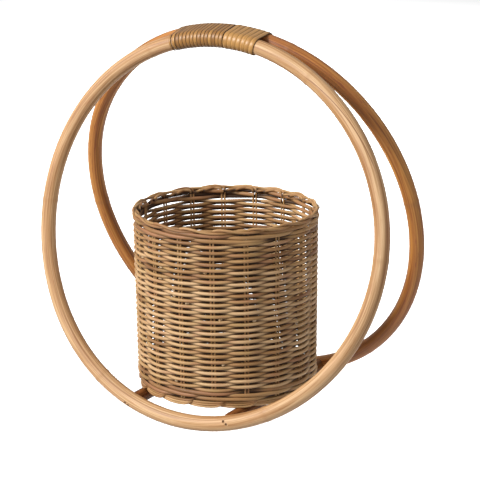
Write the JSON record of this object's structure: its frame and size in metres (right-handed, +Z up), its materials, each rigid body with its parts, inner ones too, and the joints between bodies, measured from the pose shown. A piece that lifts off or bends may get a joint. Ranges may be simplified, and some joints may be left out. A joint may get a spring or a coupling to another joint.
{
  "type": "hanging planter basket",
  "caption": "Hanging planter basket: bent rattan hoops bound with cane at the top lean apart and carry a round woven reed basket on crossbars near the bottom.",
  "frame": {"origin": "underside of the cane binding at the top, midway between the hoops, where a hook or cord holds the planter", "axes": "+Z up; +X along the width of the hoops; the front hoop is on -Y and the rear hoop on +Y; metres"},
  "size_m": [0.4762, 0.2539, 0.4557],
  "materials": {
    "pole_rattan": "satin peeled rattan pole with long grain streaks and faint darker nodes",
    "bar_rattan": "satin rattan rod, browner than the hoops",
    "binding_cane": "glossy split cane, golden brown with dark seams",
    "basket_reed": "matt round reed, straw to pinkish brown from rod to rod",
    "stake_reed": "matt round reed, paler than the weave",
    "brad_steel": "dark dull wire brad"
  },
  "bodies": {
    "root": {"front_hoop": "pole_rattan", "rear_hoop": "pole_rattan", "fine_cane_binding": "binding_cane", "wide_cane_binding": "binding_cane", "left_crossbar": "bar_rattan", "right_crossbar": "bar_rattan", "basket_wall": "basket_reed", "rim_wale": "basket_reed", "rim_border": "basket_reed", "foot_wale": "basket_reed", "foot_border": "basket_reed", "base_round": "basket_reed", "base_slath": "stake_reed", "stake_01_a": "stake_reed", "stake_01_b": "stake_reed", "stake_02_a": "stake_reed", "stake_02_b": "stake_reed", "stake_03_a": "stake_reed", "stake_03_b": "stake_reed", "stake_04_a": "stake_reed", "stake_04_b": "stake_reed", "stake_05_a": "stake_reed", "stake_05_b": "stake_reed", "stake_06_a": "stake_reed", "stake_06_b": "stake_reed", "stake_07_a": "stake_reed", "stake_07_b": "stake_reed", "stake_08_a": "stake_reed", "stake_08_b": "stake_reed", "stake_09_a": "stake_reed", "stake_09_b": "stake_reed", "stake_10_a": "stake_reed", "stake_10_b": "stake_reed", "stake_11_a": "stake_reed", "stake_11_b": "stake_reed", "stake_12_a": "stake_reed", "stake_12_b": "stake_reed", "stake_13_a": "stake_reed", "stake_13_b": "stake_reed", "stake_14_a": "stake_reed", "stake_14_b": "stake_reed", "stake_15_a": "stake_reed", "stake_15_b": "stake_reed", "stake_16_a": "stake_reed", "stake_16_b": "stake_reed", "stake_17_a": "stake_reed", "stake_17_b": "stake_reed", "front_left_brad_a": "brad_steel", "front_left_brad_b": "brad_steel", "front_right_brad_a": "brad_steel", "front_right_brad_b": "brad_steel", "rear_left_brad_a": "brad_steel", "rear_left_brad_b": "brad_steel", "rear_right_brad_a": "brad_steel", "rear_right_brad_b": "brad_steel", "left_seat_brad_a": "brad_steel", "left_seat_brad_b": "brad_steel", "right_seat_brad_a": "brad_steel", "right_seat_brad_b": "brad_steel"}
  },
  "joints": []
}
